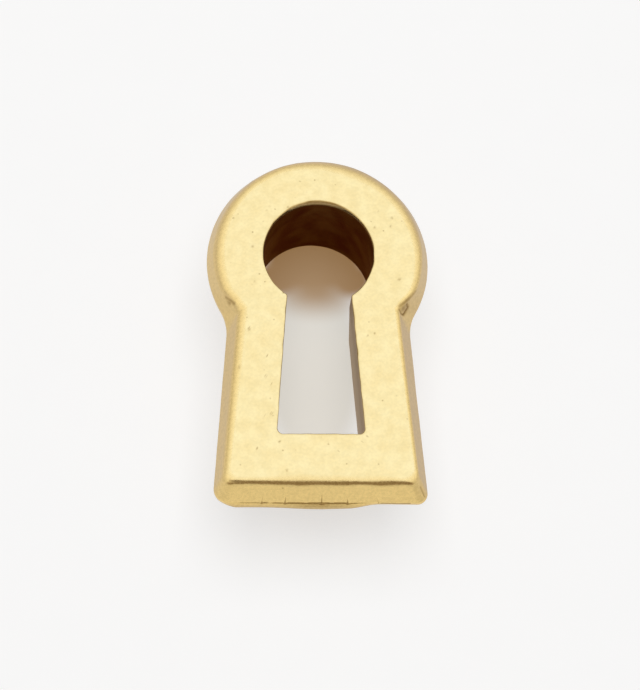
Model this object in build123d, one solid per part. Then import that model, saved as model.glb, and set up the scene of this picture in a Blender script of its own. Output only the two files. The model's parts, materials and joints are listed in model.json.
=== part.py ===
from build123d import *
import math
import os

# A keyhole escutcheon cast in one piece: a bevelled keyhole-shaped plate that covers the edge of
# the mortise, and behind it a keyhole-shaped sleeve that lines the mortise and guides the key.
# The origin is on the axis of the key hole, in the plane where the plate meets the wood.
# +Z points out of the face, +Y towards the ring and -Y towards the foot.
# Lengths are in millimetres and angles in degrees.

# Plate outline at its outer edge
ring_diameter = 12.95
foot_drop = 14.65
foot_width = 12.1
leg_flare = 4.2
neck_radius = 2.2
foot_corner_radius = 0.8

# Plate section, from the face down the bevel to the thin square edge
bevel_run = 0.52
foot_bevel_run = 0.86
bevel_depth = 1.3
edge_land = 0.42
face_neck_radius = 0.22
face_corner_radius = 0.55
face_edge_round = 0.7

# Key opening as it shows in the face
key_hole_diameter = 6.4
slot_drop = 11.0
slot_foot_width = 4.94
slot_shoulder_radius = 0.15
slot_corner_radius = 0.34
rim_round = 0.1

# Sleeve behind the plate, thinner towards its open end
sleeve_depth = 5.08
sleeve_wall = 1.4
sleeve_draft = 2.0
core_draft = 3.4
sleeve_neck_radius = 0.8
sleeve_corner_radius = 1.2
root_radius = 0.25
lead_in = 0.2

# Heights of the planes that the section steps through
seat_height = 0.0
edge_height = seat_height + edge_land
face_height = edge_height + bevel_depth
back_height = seat_height - sleeve_depth


def keyhole(
    round_diameter, drop, tail_width, growth, foot_growth, waist_radius, corner_radius, height
):
    """A round head on a flaring tail, grown outwards and drawn at a height.

    The drop is measured from the centre of the head to the foot of the tail, where the tail has
    its given width before it is grown. The head and the legs grow alike, the foot by its own.
    """
    flare = math.radians(leg_flare)
    waist = tail_width / 2 - drop * math.tan(flare) + growth / math.cos(flare)
    grown_drop = drop + foot_growth
    foot = waist + grown_drop * math.tan(flare)
    tail = make_face(
        Polyline((-waist, 0), (-foot, -grown_drop), (foot, -grown_drop), (waist, 0), close=True)
    )
    outline = Circle(round_diameter / 2 + growth) + tail
    outline = fillet(outline.vertices().sort_by(Axis.Y)[2:4], waist_radius)
    outline = fillet(outline.vertices().sort_by(Axis.Y)[:2], corner_radius)
    return Pos(0, 0, height) * outline


def plate_outline(inset, foot_inset, waist_radius, corner_radius, height):
    """The plate's outline, set in from its outer edge."""
    return keyhole(
        ring_diameter,
        foot_drop,
        foot_width,
        -inset,
        -foot_inset,
        waist_radius,
        corner_radius,
        height,
    )


def opening_outline(growth, waist_radius, corner_radius, height):
    """The key opening's outline, grown from the size that it has in the face."""
    return keyhole(
        key_hole_diameter,
        slot_drop,
        slot_foot_width,
        growth,
        growth,
        waist_radius,
        corner_radius,
        height,
    )


def edges_at(shape, height):
    """The edges of a shape that lie in the level plane at a height."""
    return shape.edges().filter_by_position(Axis.Z, height, height)


def make_plate():
    """The plate: a thin square edge, a steep bevel above it and a flat face with a soft edge."""
    edge = extrude(plate_outline(0, 0, neck_radius, foot_corner_radius, seat_height), edge_land)
    bevel = loft(
        [
            plate_outline(0, 0, neck_radius, foot_corner_radius, edge_height),
            plate_outline(
                bevel_run, foot_bevel_run, face_neck_radius, face_corner_radius, face_height
            ),
        ],
        ruled=True,
    )
    bevel = fillet(edges_at(bevel, face_height), face_edge_round)
    return edge + bevel


def make_sleeve():
    """The sleeve: a keyhole-shaped plug that narrows towards its back, with a lead-in edge."""
    slope = math.tan(math.radians(sleeve_draft))
    lead_height = back_height + lead_in
    end_wall = sleeve_wall - sleeve_depth * slope - lead_in
    lead_wall = sleeve_wall - (sleeve_depth - lead_in) * slope
    return loft(
        [
            opening_outline(wall, sleeve_neck_radius, sleeve_corner_radius, height)
            for wall, height in (
                (end_wall, back_height),
                (lead_wall, lead_height),
                (sleeve_wall, seat_height),
            )
        ],
        ruled=True,
    )


def make_core():
    """The key opening: straight through the plate, then opening out towards the back."""
    past_back = sleeve_depth
    core_length = sleeve_depth + past_back
    widening = core_length * math.tan(math.radians(core_draft))
    straight = extrude(
        opening_outline(0, slot_shoulder_radius, slot_corner_radius, seat_height),
        face_height - seat_height + past_back,
    )
    drafted = loft(
        [
            opening_outline(
                widening, slot_shoulder_radius, slot_corner_radius, seat_height - core_length
            ),
            opening_outline(0, slot_shoulder_radius, slot_corner_radius, seat_height),
        ],
        ruled=True,
    )
    return straight + drafted


def make_escutcheon():
    """The whole casting, with a soft root where sleeve meets plate and a soft rim to the hole."""
    body = make_plate() + make_sleeve()
    root = body.faces().filter_by_position(Axis.Z, seat_height, seat_height)[0].inner_wires()[0]
    body = fillet(root.edges(), root_radius)
    body = body - make_core()
    rim = body.faces().sort_by(Axis.Z)[-1].inner_wires()[0]
    return fillet(rim.edges(), rim_round)


escutcheon = make_escutcheon()
escutcheon.label = "escutcheon"

os.makedirs("parts", exist_ok=True)
export_step(escutcheon, "parts/escutcheon.step")
print("volume", escutcheon.volume)
print(escutcheon.bounding_box())
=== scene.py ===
"""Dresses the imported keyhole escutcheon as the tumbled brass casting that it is.

Lengths in the classes are millimetres in the part's own frame: the origin lies on the axis of the
key hole in the plane where the plate meets the wood, +Z points out of the face and +Y to the ring.
Meshes, lamps and the camera are made in metres.
"""

import json
import logging
from dataclasses import dataclass
from enum import Enum
from functools import partial
from math import atan2, copysign, cos, pi, radians, sin, sqrt, tan
from typing import Any, Callable

import bpy
import numpy as np
from bpy.types import ID, Material, NodeSocket, NodeTree, Object, World
from mathutils import Matrix, Vector


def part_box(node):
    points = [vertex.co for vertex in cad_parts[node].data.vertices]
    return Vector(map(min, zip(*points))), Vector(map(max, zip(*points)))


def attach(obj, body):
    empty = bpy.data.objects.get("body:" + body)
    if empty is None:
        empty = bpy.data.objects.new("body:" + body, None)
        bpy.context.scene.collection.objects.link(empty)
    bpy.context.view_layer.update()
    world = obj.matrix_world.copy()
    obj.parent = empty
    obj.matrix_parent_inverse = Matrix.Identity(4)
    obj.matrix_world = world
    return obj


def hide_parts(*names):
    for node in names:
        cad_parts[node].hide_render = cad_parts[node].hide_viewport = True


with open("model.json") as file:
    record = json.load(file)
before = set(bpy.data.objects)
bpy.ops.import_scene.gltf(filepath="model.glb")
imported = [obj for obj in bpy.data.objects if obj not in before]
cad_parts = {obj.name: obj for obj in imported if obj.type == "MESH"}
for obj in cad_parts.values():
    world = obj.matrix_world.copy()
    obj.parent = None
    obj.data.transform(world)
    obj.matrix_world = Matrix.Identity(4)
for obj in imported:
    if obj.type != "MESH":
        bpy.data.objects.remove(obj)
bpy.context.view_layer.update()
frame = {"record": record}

log = logging.getLogger("escutcheon")

MM = 0.001
NODE = "escutcheon"
BODY = "root"
PHOTO_HEIGHT = 690

Adder = Callable[..., NodeSocket | None]
Array = np.ndarray
Pair = tuple[float, float]
Point = tuple[float, float, float]

MATH = "ShaderNodeMath"
MIX = "ShaderNodeMix"
RANGE = "ShaderNodeMapRange"
NOISE = "ShaderNodeTexNoise"
# Settings of nodes that mix colours, and of ranges that ease in and out.
COLOURS = {"data_type": "RGBA", "output": 2}
SMOOTH = {"interpolation_type": "SMOOTHSTEP"}
NOISE_DETAIL = 3.0
# Most of a noise's values lie between these two.
NOISE_SPREAD = {"From Min": 0.36, "From Max": 0.64}


class Zone(Enum):
    """The runs of the casting's section, in the order in which it is swept."""

    FACE = 0
    BEVEL = 1
    LAND = 2
    SEAT = 3
    SLEEVE = 4
    LEAD = 5
    BACK = 6
    DRAFT = 7
    THROAT = 8
    LIP = 9


class Wear(Enum):
    """What the casting's points carry for its finish, each from 0 to 1."""

    RUB = "rub"
    SKIN = "skin"
    TARNISH = "tarnish"
    GRIME = "grime"
    PIT = "pit"


def linear(colour: str) -> tuple[float, float, float, float]:
    """Turns an sRGB hex colour into linear light.

    Args:
        colour: the colour as #RRGGBB.

    Returns:
        Red, green, blue and an alpha of 1.
    """
    channels = [int(colour[i : i + 2], 16) / 255 for i in (1, 3, 5)]
    red, green, blue = (c / 12.92 if c <= 0.04045 else ((c + 0.055) / 1.055) ** 2.4 for c in channels)
    return red, green, blue, 1.0


def per_length(size: float) -> float:
    """Gives the texture scale at which a pattern repeats about every `size` millimetres."""
    return 1 / (size * MM)


def add_node(
    tree: NodeTree,
    kind: str,
    inputs: dict[str | int, Any] | None = None,
    output: str | int = 0,
    **settings: Any,
) -> NodeSocket | None:
    """Adds a node to a tree with its settings, values and links.

    Args:
        tree: the tree that gets the node.
        kind: the node's type name.
        inputs: for each input, by name or number, a value or the socket that feeds it.
        output: the output that is wanted, by name or number.
        **settings: properties of the node, set before its inputs.

    Returns:
        That output, or None where the node has none.
    """
    node = tree.nodes.new(kind)
    for name, value in settings.items():
        setattr(node, name, value)
    for key, value in (inputs or {}).items():
        if isinstance(value, NodeSocket):
            tree.links.new(value, node.inputs[key])
        else:
            node.inputs[key].default_value = value
    return node.outputs[output] if node.outputs else None


def start_nodes(owner: Material | World) -> Adder:
    """Empties the nodes of a material or a world.

    Args:
        owner: the material or world.

    Returns:
        The function that adds a node to it.
    """
    owner.use_nodes = True
    owner.node_tree.nodes.clear()
    return partial(add_node, owner.node_tree)


def seen_share(add: Adder) -> NodeSocket:
    """Adds nodes that tell what the camera sees, directly, mirrored or through glass.

    Args:
        add: the function that adds a node.

    Returns:
        A socket that is 1 for such rays and 0 for others.
    """
    rays = add("ShaderNodeLightPath").node.outputs
    seen = rays["Is Camera Ray"]
    for kind in ("Is Glossy Ray", "Is Transmission Ray"):
        seen = add(MATH, {0: seen, 1: rays[kind]}, operation="MAXIMUM")
    return seen


def add_object(data: ID) -> Object:
    """Adds an object to the scene, at the origin.

    Args:
        data: the mesh, lamp or lens that it shows, which also names it.

    Returns:
        The object.
    """
    made = bpy.data.objects.new(data.name, data)
    bpy.context.scene.collection.objects.link(made)
    return made


def smoothstep(low: float, high: float, value: Array) -> Array:
    """Rises smoothly from 0 at `low` to 1 at `high`, and falls where `high` is the lower.

    Args:
        low: where the rise starts.
        high: where it ends.
        value: the places to read it at.

    Returns:
        The height of the rise at each place.
    """
    t = np.clip((value - low) / (high - low), 0, 1)
    return t * t * (3 - 2 * t)


@dataclass(frozen=True)
class CastBrass:
    """Yellow brass, sand cast and then tumbled.

    Tumbling leaves the face satin bright with a soft grain, and small casting pits in it hold
    dirt. The bevel keeps more of the deep colour of the casting, the sides a dull skin, and the
    opening, which the tumbling medium doesn't reach, a brown tarnish. The skin and the tarnish
    also carry painted shade, on the ring's top and right, the right leg, under the foot's edge and
    in the round bore.
    """

    name: str = "tumbled_cast_brass"
    rubbed: str = "#FAEAB5"
    bloom: str = "#DCC27E"
    cast: str = "#F1D084"
    # The skin's colour also lays painted shade on the sides and under the foot's edge
    skin: str = "#C6AE8C"
    # Tarnish, which in the round bore also stands as painted shade
    tarnish: str = "#4A2410"
    bare_sheen: str = "#FFFFFF"
    tarnish_sheen: str = "#E1B47F"
    # Grime, which in the crease of the foot's right corner is painted shade
    grime: str = "#865F16"
    rubbed_roughness: float = 0.26
    cast_roughness: float = 0.16
    skin_roughness: float = 0.42
    tarnish_roughness: float = 0.4
    grime_roughness: float = 0.6
    tarnish_metal: float = 0.9
    grime_metal: float = 0.8
    mottle_size: float = 1.3
    bloom_size: float = 0.6
    grain_size: float = 0.16
    grain_height: float = 0.004
    grain_gloss: float = 0.08
    face_shade: float = 0.06
    cast_shade: float = 0.12
    rub_depth: float = 0.14
    bloom_depth: float = 0.22
    stain_depth: float = 0.08
    pit_dirt: float = 0.6
    speck_spacing: float = 1.9
    speck_radius: float = 0.08
    speck_dirt: float = 0.6

    def material(self) -> Material:
        """Builds the material.

        Returns:
            A material that reads the casting's wear and its Object coordinates.
        """
        made = bpy.data.materials.new(self.name)
        add = start_nodes(made)
        wear = {kind: add("ShaderNodeAttribute", attribute_name=kind.value, output="Fac") for kind in Wear}
        place = add("ShaderNodeTexCoord", output="Object")
        # A tumbled grain is finer than a pixel, so it is drawn about three pixels wide.
        mottle, cloud, grain = (
            add(NOISE, {"Vector": place, "Scale": per_length(size), "Detail": NOISE_DETAIL})
            for size in (self.mottle_size, self.bloom_size, self.grain_size)
        )
        worn, patchy, cloudy, speckle = (
            add(RANGE, {"Value": pattern, **NOISE_SPREAD, "To Min": low, "To Max": high})
            for pattern, low, high in (
                (mottle, 1 - self.rub_depth, 1.0),
                (mottle, 1 - self.stain_depth, 1.0),
                (cloud, 0.0, self.bloom_depth),
                (grain, -1.0, 0.0),
            )
        )
        shade_depth = add(
            RANGE, {"Value": wear[Wear.RUB], "To Min": self.cast_shade, "To Max": self.face_shade}
        )
        shade = add(MATH, {0: speckle, 1: shade_depth, 2: 1.0}, operation="MULTIPLY_ADD")
        rubbed, bloomed, tarnish_and_shade_share, settled, pitted = (
            add(MATH, {0: wear[kind], 1: share}, operation="MULTIPLY")
            for kind, share in (
                (Wear.RUB, worn),
                (Wear.RUB, cloudy),
                (Wear.TARNISH, patchy),
                (Wear.GRIME, patchy),
                (Wear.PIT, self.pit_dirt),
            )
        )
        # Specks of the mould are smaller than the mesh can show, so they are drawn here.
        spots = add(
            "ShaderNodeTexVoronoi",
            {"Vector": place, "Scale": per_length(self.speck_spacing)},
            voronoi_dimensions="2D",
        ).node.outputs
        chance = add("ShaderNodeSeparateColor", {0: spots["Color"]})
        reach = self.speck_radius / self.speck_spacing
        speck = add(
            RANGE,
            {"Value": spots["Distance"], "From Min": reach, "From Max": 0.0, "To Max": self.speck_dirt},
            **SMOOTH,
        )
        for share in (chance, rubbed):
            speck = add(MATH, {0: speck, 1: share}, operation="MULTIPLY")
        dirt: Any = settled
        for share in (pitted, speck):
            dirt = add(MATH, {0: dirt, 1: share}, operation="MAXIMUM", use_clamp=True)

        # The skin, tarnish and grime layers lay painted shade as well as their own colours
        colour: Any = linear(self.cast)
        for share, layer in (
            (rubbed, self.rubbed),
            (bloomed, self.bloom),
            (wear[Wear.SKIN], self.skin),
            (tarnish_and_shade_share, self.tarnish),
            (dirt, self.grime),
        ):
            colour = add(MIX, {0: share, 6: colour, 7: linear(layer)}, **COLOURS)
        colour = add("ShaderNodeVectorMath", {0: colour, "Scale": shade}, operation="SCALE")

        rough: Any = self.cast_roughness
        for share, layer in (
            (wear[Wear.RUB], self.rubbed_roughness),
            (wear[Wear.SKIN], self.skin_roughness),
            (tarnish_and_shade_share, self.tarnish_roughness),
            (dirt, self.grime_roughness),
        ):
            rough = add(MIX, {0: share, 2: rough, 3: layer})
        rough = add(MATH, {0: grain, 1: self.grain_gloss, 2: rough}, operation="MULTIPLY_ADD")
        metal: Any = 1.0
        for share, layer in ((tarnish_and_shade_share, self.tarnish_metal), (dirt, self.grime_metal)):
            metal = add(MIX, {0: share, 2: metal, 3: layer})
        bump = add("ShaderNodeBump", {"Height": grain, "Distance": self.grain_height * MM})
        # Bare brass mirrors white at a low angle, and the tarnish mirrors brown there.
        sheen = add(
            MIX, {0: tarnish_and_shade_share, 6: linear(self.bare_sheen), 7: linear(self.tarnish_sheen)}, **COLOURS
        )
        shader = add(
            "ShaderNodeBsdfPrincipled",
            {
                "Base Color": colour,
                "Specular Tint": sheen,
                "Roughness": rough,
                "Metallic": metal,
                "Normal": bump,
            },
        )
        add("ShaderNodeOutputMaterial", {"Surface": shader})
        return made


@dataclass(frozen=True)
class PaintedShade:
    """A painted shade on the paper under the casting, with the painted brown light of its walls."""

    centre: Pair  # its middle on the paper
    reach: Pair  # half its size along X and Y
    core: float  # the part of its reach that has its full share
    share: float  # how far the paper takes its painted shade there
    own: str = "#9D7442"  # painted brown light from the walls, in place of the paper's own white there


@dataclass(frozen=True)
class StudioPaper:
    """Matt white background paper, with the faint cloud of its fibres.

    It takes the soft shadow of the casting. A share of its white is its own, for the camera and
    for what the metal mirrors, so that it stays the near-white of the photograph's ground. Under
    the casting and inside its opening, painted shades darken the paper and turn that share to
    painted brown light, standing for the light that the walls throw there.
    """

    name: str = "studio_paper"
    white: str = "#BDBCBB"
    thin: str = "#BAB9B8"
    # Painted shade: the paper's colour under the casting, tinted with painted brown light
    painted_shade_colour: str = "#AFA594"
    own_white: str = "#FFFFFF"
    own_light: float = 0.655
    fibre_size: float = 2.5
    # Painted shadows: warm in front of the foot, olive-grey in the slot, deep brown in the round bore
    painted_shades: tuple[PaintedShade, ...] = (
        PaintedShade((0.5, -12.5), (5.4, 4.5), 0.2, 0.05),
        PaintedShade((0.0, -4.4), (3.7, 7.9), 0.6, 0.43, "#B8B196"),
        PaintedShade((0.2, 0.6), (4.0, 2.5), 0.05, 0.95),
        PaintedShade((0.1, 2.3), (3.6, 1.95), 0.65, 1.0),
        PaintedShade((-2.1, 1.3), (1.9, 1.5), 0.4, 1.0),
        PaintedShade((2.4, 1.25), (1.7, 1.5), 0.4, 1.0),
    )

    def material(self) -> Material:
        """Builds the material.

        Returns:
            A matt material with its own share of white.
        """
        made = bpy.data.materials.new(self.name)
        add = start_nodes(made)
        place = add("ShaderNodeTexCoord", output="Object")
        cloud = add(NOISE, {"Vector": place, "Scale": per_length(self.fibre_size), "Detail": NOISE_DETAIL})
        thrown = add(MIX, {0: cloud, 6: linear(self.thin), 7: linear(self.white)}, **COLOURS)
        own: Any = linear(self.own_white)
        # Each painted shade darkens the paper and turns its own white to painted brown light
        for shade in self.painted_shades:
            scales = [per_length(reach) for reach in shade.reach]
            shifts = [-c * MM * scale for c, scale in zip(shade.centre, scales)]
            away = add(
                "ShaderNodeMapping", {"Vector": place, "Location": (*shifts, 0), "Scale": (*scales, 0)}
            )
            length = add("ShaderNodeVectorMath", {0: away}, operation="LENGTH", output="Value")
            near = add(
                RANGE,
                {"Value": length, "From Min": 1.0, "From Max": shade.core, "To Max": shade.share},
                **SMOOTH,
            )
            thrown, own = (
                add(MIX, {0: near, 6: clear, 7: linear(dim)}, **COLOURS)
                for clear, dim in ((thrown, self.painted_shade_colour), (own, shade.own))
            )
        matt = add("ShaderNodeBsdfDiffuse", {"Color": thrown})
        light = add(MATH, {0: seen_share(add), 1: self.own_light}, operation="MULTIPLY")
        glow = add("ShaderNodeEmission", {"Color": own, "Strength": light})
        both = add("ShaderNodeAddShader", {0: matt, 1: glow})
        add("ShaderNodeOutputMaterial", {"Surface": both})
        return made


@dataclass(frozen=True)
class Keyhole:
    """A round head on a flaring tail, before it is grown or set in."""

    head_radius: float  # radius of the head
    drop: float  # from the centre of the head to the foot of the tail
    tail_width: float  # width of the tail at its foot


@dataclass(frozen=True)
class Station:
    """A corner of the casting's section, swept round the keyhole, at which a zone starts."""

    path: Array  # the corner's place for each column of the mesh
    cut: Array  # how far its rounding reaches along the runs on both sides, for each column
    round_rows: int  # mesh rows in the rounding
    run_rows: int  # mesh rows between this rounding and the next


@dataclass(frozen=True)
class Nick:
    """A fine crack that runs up the bevel of the foot from its lower edge."""

    across: float  # place along the foot
    reach: float  # how far up it goes
    grime: float  # share of dirt at its lower end


@dataclass(frozen=True)
class Seam:
    """A stretch of the line that the mould left along the lower edge of the foot."""

    start: float  # its left end along the foot
    end: float  # its right end
    grime: float  # share of dirt in it


@dataclass(frozen=True)
class Dent:
    """A fold that the mould left along a line of points, or a dent at a single one."""

    points: tuple[Point, ...]  # the line, or the one point
    reach: float  # how far from them it ends
    depth: float  # depth at them
    grime: float  # share of dirt at them; in the crease of the foot's right corner, painted shade


@dataclass(frozen=True)
class Coat:
    """The finish of zones that tumbling hardly reaches."""

    zones: tuple[Zone, ...]
    skin: Pair  # share of dull skin at the head and along the tail
    tarnish: Pair  # share of tarnish there, which in the round bore also stands as painted shade


@dataclass
class Casting:
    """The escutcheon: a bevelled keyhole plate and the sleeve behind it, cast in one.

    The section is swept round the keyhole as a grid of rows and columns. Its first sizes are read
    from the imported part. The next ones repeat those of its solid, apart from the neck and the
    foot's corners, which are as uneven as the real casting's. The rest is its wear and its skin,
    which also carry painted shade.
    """

    ring_radius: float
    foot_drop: float
    face_height: float
    sleeve_depth: float
    hole_radius: float

    # The solid's sizes, with the neck and the corners of the real casting
    foot_width: float = 12.1
    leg_flare: float = 4.2
    neck_radius: float = 2.9
    foot_corner_radius: float = 0.68
    corner_skew: float = 0.12
    bevel_run: float = 0.52
    foot_bevel_run: float = 0.86
    edge_land: float = 0.42
    face_neck_radius: float = 0.22
    face_corner_radius: float = 0.585
    face_corner_skew: float = -0.035
    slot_drop: float = 11.0
    slot_foot_width: float = 4.94
    slot_shoulder_radius: float = 0.15
    slot_corner_radius: float = 0.34
    sleeve_wall: float = 1.4
    sleeve_draft: float = 2.0
    core_draft: float = 3.4
    sleeve_neck_radius: float = 0.8
    sleeve_corner_radius: float = 1.2
    lead_in: float = 0.2

    # Wear of the opening's rim
    lip_depth: float = 0.17
    rim_cut: float = 0.07
    rim_rise: float = 0.13
    rim_ripple: float = 0.02
    rim_ripple_size: float = 0.5
    rim_grime: float = 1.0
    rim_grime_spread: float = 0.4
    rim_grime_size: float = 0.45
    rim_grime_reach: float = 0.05

    # Rounding and wear of the face's edge, where pairs are left and right or foot and neck
    face_cut: float = 0.42
    ring_swells: tuple[Pair, ...] = (
        (-60, -0.15), (-15, -0.06), (0, 0.04), (20, 0.15), (45, 0.24), (70, 0.38),
        (90, 0.22), (110, 0.05), (135, 0.06), (180, 0.18), (240, 0.04),
    )
    leg_cuts: Pair = (0.52, 0.24)
    foot_ripple: float = 0.18
    foot_ripple_size: float = 1.2
    left_wear: Pair = (0.02, 0.16)
    right_wear: Pair = (0.10, 0.20)
    neck_from: float = -2.2
    neck_drop: float = 3.2
    neck_lift: float = 0.12

    # Rounding of the section's other corners, and the most that one may take of a run
    edge_cut: float = 0.08
    under_cut: float = 0.2
    root_cut: float = 0.22
    lead_cut: float = 0.05
    back_cut: float = 0.1
    cut_limit: float = 0.45

    # Columns of the mesh
    head_columns: int = 264
    neck_columns: int = 22
    leg_columns: int = 78
    corner_columns: int = 16
    foot_columns: int = 96

    # Marks along the lower edge of the foot
    nicks: tuple[Nick, ...] = (
        Nick(-3.31, 0.45, 0.35), Nick(-2.01, 0.50, 0.75), Nick(0.04, 0.65, 0.80),
        Nick(1.51, 0.36, 0.75), Nick(3.24, 0.42, 0.25),
    )
    nick_half_width: float = 0.055
    nick_depth: float = 0.05
    seams: tuple[Seam, ...] = (
        Seam(-4.6, -3.4, 0.25), Seam(-3.4, -3.0, 0.5), Seam(-2.8, -2.1, 0.4), Seam(-2.0, -0.9, 0.5),
        Seam(-0.8, 0.5, 0.65), Seam(0.6, 1.5, 0.6), Seam(1.6, 2.6, 0.3),
    )
    seam_half_width: float = 0.03
    seam_depth: float = 0.03
    seam_fade: float = 0.15
    seam_overrun: float = 0.1
    flash_start: float = -5.6
    flash_end: float = 3.4
    flash_fades: Pair = (0.9, 1.8)
    flash_height: float = 0.25
    flash_swell: float = 0.12
    flash_swell_reach: float = 2.0

    # Folds and dents, all over
    dents: tuple[Dent, ...] = (
        Dent(
            ((5.07, -3.01, 1.42), (5.16, -3.09, 1.21), (5.00, -3.39, 1.17), (4.89, -3.57, 1.22)),
            0.16, 0.04, 0.8,
        ),
        Dent(((4.59, -3.42, 1.60), (4.69, -3.58, 1.46), (4.83, -3.61, 1.30)), 0.14, 0.03, 0.6),
        Dent(
            ((5.50, -2.23, 1.49), (5.25, -2.56, 1.52), (4.95, -2.93, 1.58), (4.61, -3.22, 1.65)),
            0.18, 0.01, 0.55,
        ),
        Dent(((-5.33, -2.62, 1.29), (-5.10, -2.85, 1.40), (-4.87, -3.10, 1.47)), 0.16, 0.03, 0.75),
        # Painted shade: the grime colour darkens the crease of the foot's right corner
        Dent(((5.50, -13.89, 1.15), (5.66, -14.10, 0.87), (5.81, -14.33, 0.58)), 0.07, 0.02, 0.55),
        Dent(((3.41, -14.65, 0.36), (4.20, -14.65, 0.34), (4.98, -14.65, 0.37)), 0.1, 0.01, 0.75),
        Dent(((-5.10, -13.75, 1.57), (-4.85, -13.80, 1.61), (-4.51, -13.83, 1.59)), 0.1, 0.01, 0.45),
        Dent(((-5.13, -2.98, 1.26),), 0.22, 0.04, 0.6),
        Dent(((-5.24, -2.84, 1.22),), 0.14, 0.03, 0.4),
        Dent(((-2.15, -14.06, 1.31),), 0.06, 0.03, 0.7),
        Dent(((4.86, -3.29, 1.45),), 0.36, 0.03, 0.55),
        Dent(((5.00, -3.39, 1.17),), 0.14, 0.03, 0.9),
        Dent(((4.89, -3.57, 1.22),), 0.14, 0.03, 0.9),
        Dent(((-3.84, 0.40, 1.70),), 0.13, 0.03, 0.5),
        Dent(((3.28, 1.70, 1.70),), 0.11, 0.02, 0.5),
        Dent(((4.22, 1.78, 1.70),), 0.11, 0.02, 0.5),
        Dent(((4.65, -1.58, 1.70),), 0.13, 0.04, 0.6),
        Dent(((-3.73, -1.81, 1.70),), 0.09, 0.02, 0.35),
        Dent(((-3.90, -1.99, 1.69),), 0.08, 0.02, 0.3),
        Dent(((-4.04, -4.73, 1.71),), 0.12, 0.03, 0.9),
        Dent(((-4.61, -7.08, 1.70),), 0.11, 0.02, 0.6),
        Dent(((-2.85, 2.96, 1.72),), 0.09, 0.02, 0.25),
        Dent(((-3.02, 2.70, 1.71),), 0.10, 0.02, 0.25),
        Dent(((-2.07, -2.48, 1.72),), 0.12, 0.03, 0.5),
    )

    # How dull the sides are, with painted shade towards the ring's top and right and on the right leg,
    # and at which depths under the face that starts and is full
    ring_dullness_and_shade: tuple[Pair, ...] = (
        (-60, 0.5), (-15, 0.6), (0, 0.66), (20, 0.84), (55, 1.0),
        (110, 0.88), (135, 0.76), (180, 0.43), (240, 0.36),
    )
    ring_fade: Pair = (-0.015, 0.27)
    leg_dullness_and_shade: Pair = (0.54, 0.78)
    leg_fades: tuple[Pair, Pair] = ((0.005, 0.35), (0.005, 0.2))
    foot_dullness: float = 0.05
    # Painted shade under the foot's edge, laid on in the skin's colour
    under_shade: float = 0.6

    # How steeply the rubbed finish falls off at the face's edge, and the finish of hidden zones
    rub_fall: float = 3.0
    foot_rub_fall: float = 1.5
    bevel_rub: float = 0.1
    coats: tuple[Coat, ...] = (
        Coat((Zone.SEAT, Zone.SLEEVE, Zone.LEAD), (0.8, 0.8), (0.15, 0.15)),
        Coat((Zone.BACK,), (0.6, 0.6), (0.0, 0.0)),
        # Full tarnish in the round bore, which also stands as painted shade there
        Coat((Zone.DRAFT, Zone.THROAT), (0.4, 1.0), (1.0, 0.25)),
        Coat((Zone.LIP,), (0.5, 0.5), (0.0, 0.0)),
    )

    # The casting's skin and the pits in it
    wave_size: float = 5.0
    wave_height: float = 0.035
    skin_size: float = 0.55
    skin_height: float = 0.008
    skin_detail: float = 2.0
    pit_density: float = 0.22
    pit_falloff: float = 4.0
    pit_smallest: float = 0.35
    pit_radius: float = 0.11
    pit_depth: float = 0.03
    seed: int = 7

    @classmethod
    def from_frame(cls) -> "Casting":
        """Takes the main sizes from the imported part.

        Returns:
            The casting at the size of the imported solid.
        """
        low, high = (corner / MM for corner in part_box(NODE))
        bore = next(m for m in frame["record"]["mounts"] if m["name"] == "key_bore")
        return cls(
            ring_radius=high.x,
            foot_drop=-low.y,
            face_height=high.z,
            sleeve_depth=-low.z,
            hole_radius=bore["dims"]["r_mm"],
        )

    @property
    def nick_gap(self) -> float:
        """The half width of a nick, where half the foot's width is 1."""
        return self.nick_half_width / self.foot_width * 2

    def foot_shares(self) -> Array:
        """Places the columns along the foot, with three close together at each nick.

        Returns:
            Places along the foot's straight part, from -1 at its left end to just before 1.
        """
        even = np.linspace(-1, 1, self.foot_columns, endpoint=False)
        gap = self.nick_gap
        close = [self.foot_share_of(nick) + side * gap for nick in self.nicks for side in (-1, 0, 1)]
        clear = [u for u in even if min(abs(u - c) for c in close) > gap]
        return np.sort(np.array(clear + close))

    def foot_share_of(self, nick: Nick) -> float:
        """Says where a nick lies between the ends of the foot's straight part.

        Args:
            nick: the nick.

        Returns:
            Its place, from -1 at the left end to 1 at the right.
        """
        tilt = radians(self.leg_flare)
        size = self.foot_corner_radius + copysign(self.corner_skew, -nick.across)
        return nick.across / (self.foot_width / 2 - size * (1 + sin(tilt)) / cos(tilt))

    def outline(
        self, shape: Keyhole, growth: float, foot_growth: float, waist_radius: float, corner_radii: Pair
    ) -> Array:
        """Draws a keyhole, grown outwards, with its waist and its corners rounded.

        Every outline has its columns on the same pieces: the head from right to left over the
        top, then the left neck, leg and corner, the foot, and the right corner, leg and neck.

        Args:
            shape: the keyhole.
            growth: how far its head and legs are grown, or set in where negative.
            foot_growth: how far its foot is.
            waist_radius: rounding where the head meets the legs.
            corner_radii: rounding of the foot's left and right corners.

        Returns:
            X and Y for each column.
        """
        tilt = radians(self.leg_flare)
        lean, level = sin(tilt), cos(tilt)
        radius = shape.head_radius + growth
        drop = shape.drop + foot_growth
        reach = shape.tail_width / 2 * level - shape.drop * lean + growth
        across = np.array([level, lean])
        along = np.array([lean, -level])

        out = reach + waist_radius
        waist = across * out + along * sqrt((radius + waist_radius) ** 2 - out**2)
        head_end = atan2(waist[1], waist[0])
        leg_top = waist - across * waist_radius
        left, right = (
            np.array([(reach - size - lean * (size - drop)) / level, size - drop])
            for size in corner_radii
        )
        mirror = np.array([-1, 1])

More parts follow.
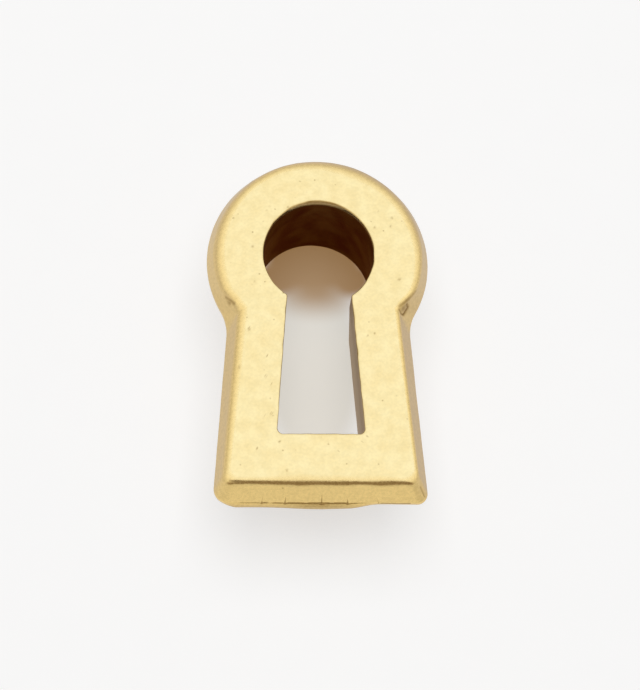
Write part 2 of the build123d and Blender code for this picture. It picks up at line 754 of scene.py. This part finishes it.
        def arc(centre: Array, size: float, start: float, end: float, columns: int) -> Array:
            """Spaces columns along an arc, without its end."""
            turn = np.linspace(start, end, columns, endpoint=False)
            return centre + size * np.stack([np.cos(turn), np.sin(turn)], 1)

        def leg(start: Array, end: Array) -> Array:
            """Spaces columns along a leg, without its end."""
            return start + np.linspace(0, 1, self.leg_columns, endpoint=False)[:, None] * (end - start)

        along_foot = self.foot_shares()
        foot_x = along_foot * np.where(along_foot < 0, left[0], right[0])
        return np.concatenate(
            [
                arc(np.zeros(2), radius, head_end, pi - head_end, self.head_columns),
                arc(waist * mirror, waist_radius, -head_end, -tilt, self.neck_columns),
                leg(leg_top * mirror, (left + across * corner_radii[0]) * mirror),
                arc(left * mirror, corner_radii[0], pi - tilt, 1.5 * pi, self.corner_columns),
                np.stack([foot_x, np.full_like(foot_x, -drop)], 1),
                arc(right, corner_radii[1], -0.5 * pi, tilt, self.corner_columns),
                leg(right + across * corner_radii[1], leg_top),
                arc(waist, waist_radius, pi + tilt, pi + head_end, self.neck_columns),
            ]
        )

    def ripple(self, plan: Array, size: float) -> Array:
        """Draws an uneven height along an outline.

        Args:
            plan: X and Y for each column.
            size: distance between its bends.

        Returns:
            A height from -1 to 1 for each column.
        """
        steps = np.linalg.norm(np.roll(plan, -1, 0) - plan, axis=1)
        run = np.cumsum(steps) - steps
        bends = round(np.sum(steps) / size)
        heights = np.random.default_rng(self.seed).uniform(-1, 1, bends)
        place = run / np.sum(steps) * bends
        before = np.floor(place).astype(int)
        rise = smoothstep(0, 1, place - before)
        return (1 - rise) * heights[before] + rise * heights[(before + 1) % bends]

    @staticmethod
    def round_ring(x: Array, y: Array, values: tuple[Pair, ...]) -> Array:
        """Reads a value that changes round the ring.

        Args:
            x: places along X.
            y: places along Y.
            values: directions in degrees from +X, rising from -90, each with its value.

        Returns:
            The value in the direction of each place.
        """
        direction = (np.degrees(np.arctan2(y, x)) + 90) % 360 - 90
        return np.interp(direction, *zip(*values))

    def worn_rim(self, plan: Array) -> Array:
        """Wears the rim of the opening: uneven all round, and pulled out at the top of the hole.

        Args:
            plan: X and Y of the rim for each column.

        Returns:
            The same, worn.
        """
        step = np.roll(plan, -1, 0) - np.roll(plan, 1, 0)
        out = np.stack([step[:, 1], -step[:, 0]], 1) / np.linalg.norm(step, axis=1, keepdims=True)
        worn = plan + out * (self.rim_ripple * self.ripple(plan, self.rim_ripple_size))[:, None]
        worn[:, 1] += self.rim_rise * np.clip(plan[:, 1] / self.hole_radius, 0, 1)
        return worn

    def worn_face(self, plan: Array) -> Array:
        """Wears the edge of the face along the legs, most at the necks.

        Args:
            plan: X and Y of the edge for each column.

        Returns:
            The same, worn.
        """
        x, y = plan.T
        climb = smoothstep(-self.foot_drop, -self.neck_drop, y)
        below = smoothstep(self.neck_from, -self.neck_drop, y)
        shift = np.zeros_like(x)
        for side, (foot, neck) in ((-1, self.left_wear), (1, self.right_wear)):
            beside = smoothstep(0, side * self.foot_width / 4, x)
            shift -= side * beside * below * (foot + (neck - foot) * climb)
        return np.stack([x + shift, y + self.neck_lift * below * climb], 1)

    def shares(self) -> tuple[Array, Array, Array]:
        """Says for each column how far it belongs to the head, to a leg and to the foot.

        Returns:
            The three shares, which fade into each other over the necks and corners.
        """
        head = np.ones(self.head_columns)
        neck = np.linspace(1, 0, self.neck_columns, endpoint=False)
        leg = np.zeros(self.leg_columns)
        corner = np.linspace(0, 1, self.corner_columns, endpoint=False)
        foot = np.ones(len(self.foot_shares()))
        head_share = np.hstack((head, neck, leg, 0 * corner, 0 * foot, 0 * corner, leg, 1 - neck))
        foot_share = np.hstack((0 * head, 0 * neck, leg, corner, foot, 1 - corner, leg, 0 * neck))
        return head_share, 1 - head_share - foot_share, foot_share

    def stations(self) -> list[Station]:
        """Draws the corners of the section, from the rim of the opening round to its throat.

        Returns:
            The corner at which each zone starts, in the order of the sweep.
        """
        plate = Keyhole(self.ring_radius, self.foot_drop, self.foot_width)
        opening = Keyhole(self.hole_radius, self.slot_drop, self.slot_foot_width)
        thinning = tan(radians(self.sleeve_draft))
        widening = tan(radians(self.core_draft)) * self.sleeve_depth
        lip_height = self.face_height - self.lip_depth
        lead_depth = self.sleeve_depth - self.lead_in
        lead_wall = self.sleeve_wall - lead_depth * thinning
        end_wall = self.sleeve_wall - self.sleeve_depth * thinning - self.lead_in
        edge, face, sleeve, slot = (
            (waist, (corner + skew, corner - skew))
            for waist, corner, skew in (
                (self.neck_radius, self.foot_corner_radius, self.corner_skew),
                (self.face_neck_radius, self.face_corner_radius, self.face_corner_skew),
                (self.sleeve_neck_radius, self.sleeve_corner_radius, 0),
                (self.slot_shoulder_radius, self.slot_corner_radius, 0),
            )
        )
        made = []
        head_share, leg_share, foot_share = self.shares()
        for zone, shape, growth, radii, height, cut, round_rows, run_rows in (
            (Zone.FACE, opening, 0, slot, self.face_height, self.rim_cut, 5, 28),
            (Zone.BEVEL, plate, -self.bevel_run, face, self.face_height, self.face_cut, 15, 16),
            (Zone.LAND, plate, 0, edge, self.edge_land, self.edge_cut, 9, 3),
            (Zone.SEAT, plate, 0, edge, 0, self.under_cut, 6, 6),
            (Zone.SLEEVE, opening, self.sleeve_wall, sleeve, 0, self.root_cut, 6, 8),
            (Zone.LEAD, opening, lead_wall, sleeve, -lead_depth, self.lead_cut, 3, 1),
            (Zone.BACK, opening, end_wall, sleeve, -self.sleeve_depth, self.lead_cut, 3, 4),
            (Zone.DRAFT, opening, widening, slot, -self.sleeve_depth, self.back_cut, 4, 14),
            (Zone.THROAT, opening, 0, slot, 0, self.lead_cut, 3, 8),
            (Zone.LIP, opening, 0, slot, lip_height, self.lead_cut, 3, 2),
        ):
            foot_growth = -self.foot_bevel_run if zone is Zone.BEVEL else growth
            plan = self.outline(shape, growth, foot_growth, *radii)
            reach = np.full(len(plan), cut)
            if zone is Zone.FACE:
                plan = self.worn_rim(plan)
            if zone is Zone.BEVEL:
                leg_cut = np.where(plan[:, 0] < 0, *self.leg_cuts)
                reach += self.round_ring(plan[:, 0], plan[:, 1], self.ring_swells) * head_share
                reach += (leg_cut - cut) * leg_share
                uneven = self.foot_ripple * self.ripple(plan, self.foot_ripple_size)
                reach *= 1 + uneven * foot_share
                plan = self.worn_face(plan)
            path = np.column_stack([plan, np.full(len(plan), height)])
            made.append(Station(path, reach[:, None], round_rows, run_rows))
        return made

    def sweep(self) -> tuple[Array, Array]:
        """Sweeps the section round the keyhole, with every corner rounded.

        Returns:
            The points as rows and columns, and for each row the weight of each zone in it.
        """
        corners = self.stations()
        starts, ends, pulls = [], [], []
        for i, corner in enumerate(corners):
            ways = []
            for side, found in ((corners[i - 1], starts), (corners[(i + 1) % len(corners)], ends)):
                way = side.path - corner.path
                length = np.linalg.norm(way, axis=1, keepdims=True)
                ways.append(way / length)
                found.append(corner.path + ways[-1] * np.minimum(corner.cut, self.cut_limit * length))
            opening = np.sum(ways[0] * ways[1], axis=1, keepdims=True)
            pulls.append(np.sqrt((1 - opening) / 2))
        rows, weights = [], []
        one = np.eye(len(Zone))
        for i, corner in enumerate(corners):
            before, here = one[i - 1], one[i]
            for s in np.linspace(0, 1, corner.round_rows):
                first, middle, last = (1 - s) ** 2, 2 * s * (1 - s) * pulls[i], s**2
                arc = first * starts[i] + middle * corner.path + last * ends[i]
                rows.append(arc / (first + middle + last))
                weights.append((1 - s) * before + s * here)
            after = starts[(i + 1) % len(corners)]
            for t in np.linspace(0, 1, corner.run_rows + 2)[1:-1]:
                rows.append((1 - t) * ends[i] + t * after)
                weights.append(here)
        return np.array(rows), np.array(weights)

    @staticmethod
    def outward(grid: Array) -> Array:
        """Works out which way the surface faces.

        Args:
            grid: the points as rows and columns.

        Returns:
            A unit vector for each point.
        """
        down = np.roll(grid, -1, 0) - np.roll(grid, 1, 0)
        round_ = np.roll(grid, -1, 1) - np.roll(grid, 1, 1)
        facing = np.cross(down, round_)
        return facing / np.linalg.norm(facing, axis=2, keepdims=True)

    def mark(self, grid: Array) -> Array:
        """Pushes out the foot's flash, and cuts its seam, its nicks and the dents.

        Args:
            grid: the points as rows and columns, which are moved.

        Returns:
            The share of dirt at each point, and of painted shade in the crease of the foot's right corner.
        """
        facing = self.outward(grid)
        x, y, z = np.moveaxis(grid, 2, 0)
        plain = grid.copy()
        foot_share = self.shares()[2]
        on_foot = (foot_share > 0.5) & (z >= 0) & (y < -self.foot_drop + self.foot_bevel_run)

        fallen = np.clip((self.edge_land - z) / self.edge_land, 0, 1)
        bulge = self.flash_height + self.flash_swell * np.exp(-((x / self.flash_swell_reach) ** 2))
        bulge = bulge * smoothstep(self.flash_start, self.flash_start + self.flash_fades[0], x)
        bulge = bulge * smoothstep(self.flash_end, self.flash_end - self.flash_fades[1], x)
        grid[..., 1] -= np.where(on_foot, bulge * fallen, 0)

        rise = np.hypot(z - self.edge_land, y + self.foot_drop) / self.seam_half_width
        line = np.zeros(x.shape)
        for seam in self.seams:
            end = seam.end + self.seam_overrun
            length = smoothstep(seam.start, seam.start + self.seam_fade, x)
            length = length * smoothstep(end, end - self.seam_fade, x)
            line = np.maximum(line, seam.grime * length * np.exp(-(rise**2)))
        cut, grime = self.seam_depth * line, line
        above = z > self.edge_land - self.edge_cut
        straight = np.full(x.shape[1], np.inf)
        foot_from = self.head_columns + self.neck_columns + self.leg_columns + self.corner_columns
        along_foot = self.foot_shares()
        straight[foot_from : foot_from + len(along_foot)] = along_foot
        for nick in self.nicks:
            near = np.clip(1 - np.abs(straight - self.foot_share_of(nick)) / self.nick_gap, 0, 1)
            crack = near * smoothstep(nick.reach, 0, np.abs(z - self.edge_land)) * above
            cut = np.maximum(cut, self.nick_depth * crack)
            grime = np.maximum(grime, nick.grime * crack)
        grime = np.where(on_foot, grime, 0)
        grid -= facing * np.where(on_foot, cut, 0)[..., None]

        for dent in self.dents:
            away = np.linalg.norm(plain - dent.points[0], axis=2)
            for start, end in zip(dent.points, dent.points[1:]):
                way = np.subtract(end, start)
                part = np.clip((plain - start) @ way / (way @ way), 0, 1)
                gone = np.linalg.norm(plain - start - part[..., None] * way, axis=2)
                away = np.minimum(away, gone)
            near = smoothstep(1, 0, away / dent.reach)
            grid -= facing * (dent.depth * near)[..., None]
            grime = np.maximum(grime, dent.grime * near)
        rim = self.stations()[Zone.FACE.value].path
        away = np.linalg.norm(plain - rim, axis=2) / self.rim_grime_reach
        settled = 1 - self.rim_grime_spread
        settled = settled + self.rim_grime_spread * self.ripple(rim[:, :2], self.rim_grime_size)
        return np.maximum(grime, self.rim_grime * settled * np.exp(-(away**2)))

    def wear(self, grid: Array, weights: Array, grime: Array) -> dict[Wear, Array]:
        """Shares out the finishes over the casting, with the painted shade that some of them carry.

        Args:
            grid: the points as rows and columns.
            weights: for each row, the weight of each zone in it.
            grime: the share of dirt at each point.

        Returns:
            For each kind of wear its share at each point.
        """
        head_share, leg_share, foot_share = self.shares()
        zone = {kind: weights[:, kind.value][:, None] for kind in Zone}
        x, y, z = np.moveaxis(grid, 2, 0)
        depth = self.face_height - z
        # The sides' dullness carries painted shade, darker at the ring's top and right and on the right
        # leg
        ring = self.round_ring(x, y, self.ring_dullness_and_shade) * smoothstep(*self.ring_fade, depth)
        left, right = (
            dullness * smoothstep(*fade, depth)
            for dullness, fade in zip(self.leg_dullness_and_shade, self.leg_fades)
        )
        # Painted shade darkens the skin towards the foot's underside
        under = self.foot_dullness + self.under_shade * smoothstep(self.edge_land, 0, z)
        dull = ring * head_share + np.where(x < 0, left, right) * leg_share**2 + under * foot_share
        skin = dull * np.sqrt(zone[Zone.BEVEL] + zone[Zone.LAND])
        tarnish = np.zeros_like(skin)
        for coat in self.coats:
            covered = sum(zone[kind] for kind in coat.zones)
            for share, (head, tail) in ((skin, coat.skin), (tarnish, coat.tarnish)):
                share += covered * (tail + (head - tail) * head_share)
        fall = self.rub_fall + (self.foot_rub_fall - self.rub_fall) * foot_share
        rub = zone[Zone.FACE] ** fall + self.bevel_rub * zone[Zone.BEVEL]
        return {Wear.RUB: rub, Wear.SKIN: skin, Wear.TARNISH: tarnish, Wear.GRIME: grime}

    def skin_tree(self, material: Material) -> tuple[NodeTree, dict[str, Any]]:
        """Builds the nodes that give the swept shape the surface of a casting.

        A slow wave keeps its edges from being ruled straight, a fine unevenness breaks its flats,
        and pits are scattered over it, most where tumbling has opened them.

        Args:
            material: the casting's finish.

        Returns:
            The tree, and the value of each of its inputs by the identifier of its socket.
        """
        tree = bpy.data.node_groups.new("casting_skin", "GeometryNodeTree")
        add = partial(add_node, tree)
        for way in ("INPUT", "OUTPUT"):
            tree.interface.new_socket("Geometry", in_out=way, socket_type="NodeSocketGeometry")
        values = {}
        for name, kind, value in (
            ("Wave Size", "Float", self.wave_size * MM),
            ("Wave Height", "Float", self.wave_height * MM),
            ("Skin Size", "Float", self.skin_size * MM),
            ("Skin Height", "Float", self.skin_height * MM),
            ("Pit Density", "Float", self.pit_density / MM**2),
            ("Pit Radius", "Float", self.pit_radius * MM),
            ("Pit Depth", "Float", self.pit_depth * MM),
            ("Seed", "Int", self.seed),
            ("Material", "Material", material),
        ):
            socket = tree.interface.new_socket(name, in_out="INPUT", socket_type=f"NodeSocket{kind}")
            values[socket.identifier] = value
        given = add("NodeGroupInput").node.outputs
        facing = add("GeometryNodeInputNormal")

        lift: Any = 0.0
        for size, height in (("Wave Size", "Wave Height"), ("Skin Size", "Skin Height")):
            scale = add(MATH, {0: 1.0, 1: given[size]}, operation="DIVIDE")
            noise = add(NOISE, {"Scale": scale, "Detail": self.skin_detail})
            swing = add(MATH, {0: noise, 1: 2.0, 2: -1.0}, operation="MULTIPLY_ADD")
            lift = add(MATH, {0: swing, 1: given[height], 2: lift}, operation="MULTIPLY_ADD")

        rub = add("GeometryNodeInputNamedAttribute", {"Name": Wear.RUB.value})
        open_ = add(MATH, {0: rub, 1: self.pit_falloff}, operation="POWER")
        density = add(MATH, {0: given["Pit Density"], 1: open_}, operation="MULTIPLY")
        pits = add(
            "GeometryNodeDistributePointsOnFaces",
            {"Mesh": given["Geometry"], "Density": density, "Seed": given["Seed"]},
            output="Points",
        )
        nearest = add("GeometryNodeSampleNearest", {"Geometry": pits})
        chance = add(
            "FunctionNodeRandomValue",
            {2: self.pit_smallest, 3: 1.0, "ID": nearest, "Seed": given["Seed"]},
            output=1,
        )
        away = add("GeometryNodeProximity", {0: pits}, target_element="POINTS", output="Distance")
        radius = add(MATH, {0: given["Pit Radius"], 1: chance}, operation="MULTIPLY")
        pit = add(RANGE, {"Value": away, "From Min": radius, "From Max": 0.0}, **SMOOTH)
        sink = add(MATH, {0: pit, 1: given["Pit Depth"]}, operation="MULTIPLY")
        lift = add(MATH, {0: lift, 1: sink}, operation="SUBTRACT")
        offset = add("ShaderNodeVectorMath", {0: facing, "Scale": lift}, operation="SCALE")
        noted = add(
            "GeometryNodeStoreNamedAttribute",
            {"Geometry": given["Geometry"], "Name": Wear.PIT.value, "Value": pit},
        )
        moved = add("GeometryNodeSetPosition", {"Geometry": noted, "Offset": offset})
        real = add("GeometryNodeRealizeInstances", {"Geometry": moved})
        dressed = add("GeometryNodeSetMaterial", {"Geometry": real, "Material": given["Material"]})
        add("NodeGroupOutput", {0: dressed})
        return tree, values

    def build(self) -> Object:
        """Makes the casting's plain mesh, with its wear on its points.

        Returns:
            The object, at the origin.
        """
        grid, weights = self.sweep()
        grime = self.mark(grid)
        rows, columns = grid.shape[:2]
        index = np.arange(rows * columns).reshape(rows, columns)
        below, beside = np.roll(index, -1, 0), np.roll(index, -1, 1)
        faces = np.stack([index, below, np.roll(below, -1, 1), beside], 2).reshape(-1, 4)
        mesh = bpy.data.meshes.new("cast_escutcheon")
        mesh.from_pydata((grid.reshape(-1, 3) * MM).tolist(), [], faces.tolist())
        for kind, share in self.wear(grid, weights, grime).items():
            carried = mesh.attributes.new(kind.value, "FLOAT", "POINT")
            carried.data.foreach_set("value", np.clip(share, 0, 1).astype(np.float32).ravel())
        mesh.shade_smooth()
        return add_object(mesh)

    def dress(self, plain: Object, material: Material) -> Object:
        """Gives the plain casting its surface and its finish, and makes it stand for the solid.

        Args:
            plain: the casting as swept.
            material: its finish.

        Returns:
            The same object with its finished mesh.
        """
        tree, values = self.skin_tree(material)
        skin = plain.modifiers.new("casting_skin", "NODES")
        skin.node_group = tree
        for identifier, value in values.items():
            skin[identifier] = value
        graph = bpy.context.evaluated_depsgraph_get()
        finished = bpy.data.meshes.new_from_object(plain.evaluated_get(graph), depsgraph=graph)
        plain.modifiers.remove(skin)
        plain.data = finished
        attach(plain, BODY)
        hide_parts(NODE)
        return plain


@dataclass
class Studio:
    """A light tent over white paper, open and dark at the front where the camera stands."""

    ground: float  # height of the paper
    reach: float = 4000.0  # half the length of the paper's sides
    tent_light: float = 1.13  # light from the tent's top and sides
    tent_fill: float = 0.15  # the share of it that reaches matt surfaces, which the softbox lights
    hem_light: float = 0.78  # light from its hem, close to the paper
    opening_light: float = 0.28  # light from its open front
    tent_white: str = "#FFFFFF"
    opening_dark: str = "#FFE4C5"
    opening_span: Pair = (-0.6, -0.68)
    sill_span: Pair = (0.14, 0.28)
    hem_span: Pair = (0.9, 0.0)
    softbox_light: float = 6.0  # light from the softbox over it, in watts for each square metre
    softbox_size: Pair = (330.0, 460.0)
    softbox_distance: float = 400.0
    softbox_tilt: float = 9.0

    def paper(self, finish: StudioPaper) -> Object:
        """Lays the paper.

        Args:
            finish: the paper's finish.

        Returns:
            The paper.
        """
        mesh = bpy.data.meshes.new("studio_paper")
        side = self.reach * MM
        height = self.ground * MM
        corners = [(-side, -side), (side, -side), (side, side), (-side, side)]
        mesh.from_pydata([(x, y, height) for x, y in corners], [], [(0, 1, 2, 3)])
        mesh.materials.append(finish.material())
        sheet = add_object(mesh)
        return sheet

    def tent(self) -> World:
        """Hangs the tent: even light that fades towards its hem, with a front open above a sill.

        Returns:
            The world that lights the scene.
        """
        world = bpy.data.worlds.new("light_tent")
        add = start_nodes(world)
        way = add("ShaderNodeTexCoord", output="Generated")
        parts = add("ShaderNodeSeparateXYZ", {0: way}).node.outputs
        low, front, above = (
            add(RANGE, {"Value": part, "From Min": start, "From Max": end}, **SMOOTH)
            for part, (start, end) in (
                (parts["Z"], self.hem_span),
                (parts["Y"], self.opening_span),
                (parts["Z"], self.sill_span),
            )
        )
        open_ = add(MATH, {0: front, 1: above}, operation="MULTIPLY")
        light: Any = self.tent_light
        for share, strength in ((low, self.hem_light), (open_, self.opening_light)):
            light = add(MIX, {0: share, 2: light, 3: strength})
        part = add(RANGE, {"Value": seen_share(add), "To Min": self.tent_fill})
        light = add(MATH, {0: light, 1: part}, operation="MULTIPLY")
        colour = add(MIX, {0: open_, 6: linear(self.tent_white), 7: linear(self.opening_dark)}, **COLOURS)
        sky = add("ShaderNodeBackground", {"Color": colour, "Strength": light})
        add("ShaderNodeOutputWorld", {"Surface": sky})
        bpy.context.scene.world = world
        return world

    def softbox(self) -> Object:
        """Hangs the softbox over the tent, where it lights the paper but is mirrored by nothing.

        Returns:
            The lamp.
        """
        lamp = bpy.data.lights.new("softbox", "AREA")
        lamp.shape = "RECTANGLE"
        lamp.size, lamp.size_y = (side * MM for side in self.softbox_size)
        lamp.energy = self.softbox_light * lamp.size * lamp.size_y
        box = add_object(lamp)
        box.visible_glossy = False
        tilt = radians(self.softbox_tilt)
        up = Vector((0, sin(tilt), cos(tilt)))
        box.location = up * self.softbox_distance * MM
        box.rotation_euler = (-up).to_track_quat("-Z", "Y").to_euler()
        return box


@dataclass
class PhotoCamera:
    """The camera, fitted to the photograph."""

    aim: Point = (0.103, -5.026, 0.0)  # point on the seat plane in the middle of the picture
    elevation: float = 68.55  # angle above the floor, in degrees
    azimuth: float = 9.46  # angle from the front towards -X, in degrees
    roll: float = 9.33  # turn of the picture, in degrees
    distance: float = 112.8  # from the aim
    focal: float = 1950.0  # focal length in pixels of the photograph
    sensor: float = 36.0  # length of the sensor's long side

    def build(self) -> Object:
        """Sets the camera up.

        Returns:
            The scene's camera.
        """
        turn = Matrix.Identity(3)
        for angle, axis in ((-self.azimuth, "Z"), (90 - self.elevation, "X"), (self.roll, "Z")):
            turn = turn @ Matrix.Rotation(radians(angle), 3, axis)
        lens = bpy.data.cameras.new("photo_camera")
        lens.sensor_width = self.sensor
        lens.lens = self.focal / PHOTO_HEIGHT * self.sensor
        lens.clip_start = MM
        camera = add_object(lens)
        camera.matrix_world = turn.to_4x4()
        camera.location = (Vector(self.aim) + turn.col[2] * self.distance) * MM
        bpy.context.scene.camera = camera
        return camera


def main() -> None:
    """Builds the casting, the studio and the camera, and reports each."""
    bpy.context.scene.view_settings.view_transform = "Standard"
    casting = Casting.from_frame()
    piece = casting.dress(casting.build(), CastBrass().material())
    log.info("%s: %d faces", piece.name, len(piece.data.polygons))
    studio = Studio(ground=-casting.sleeve_depth)
    for made in (studio.paper(StudioPaper()), studio.tent(), studio.softbox()):
        log.info("%s: ready", made.name)
    log.info("%s: ready", PhotoCamera().build().name)


if __name__ == "__main__":
    logging.basicConfig(level=logging.INFO)
    main()
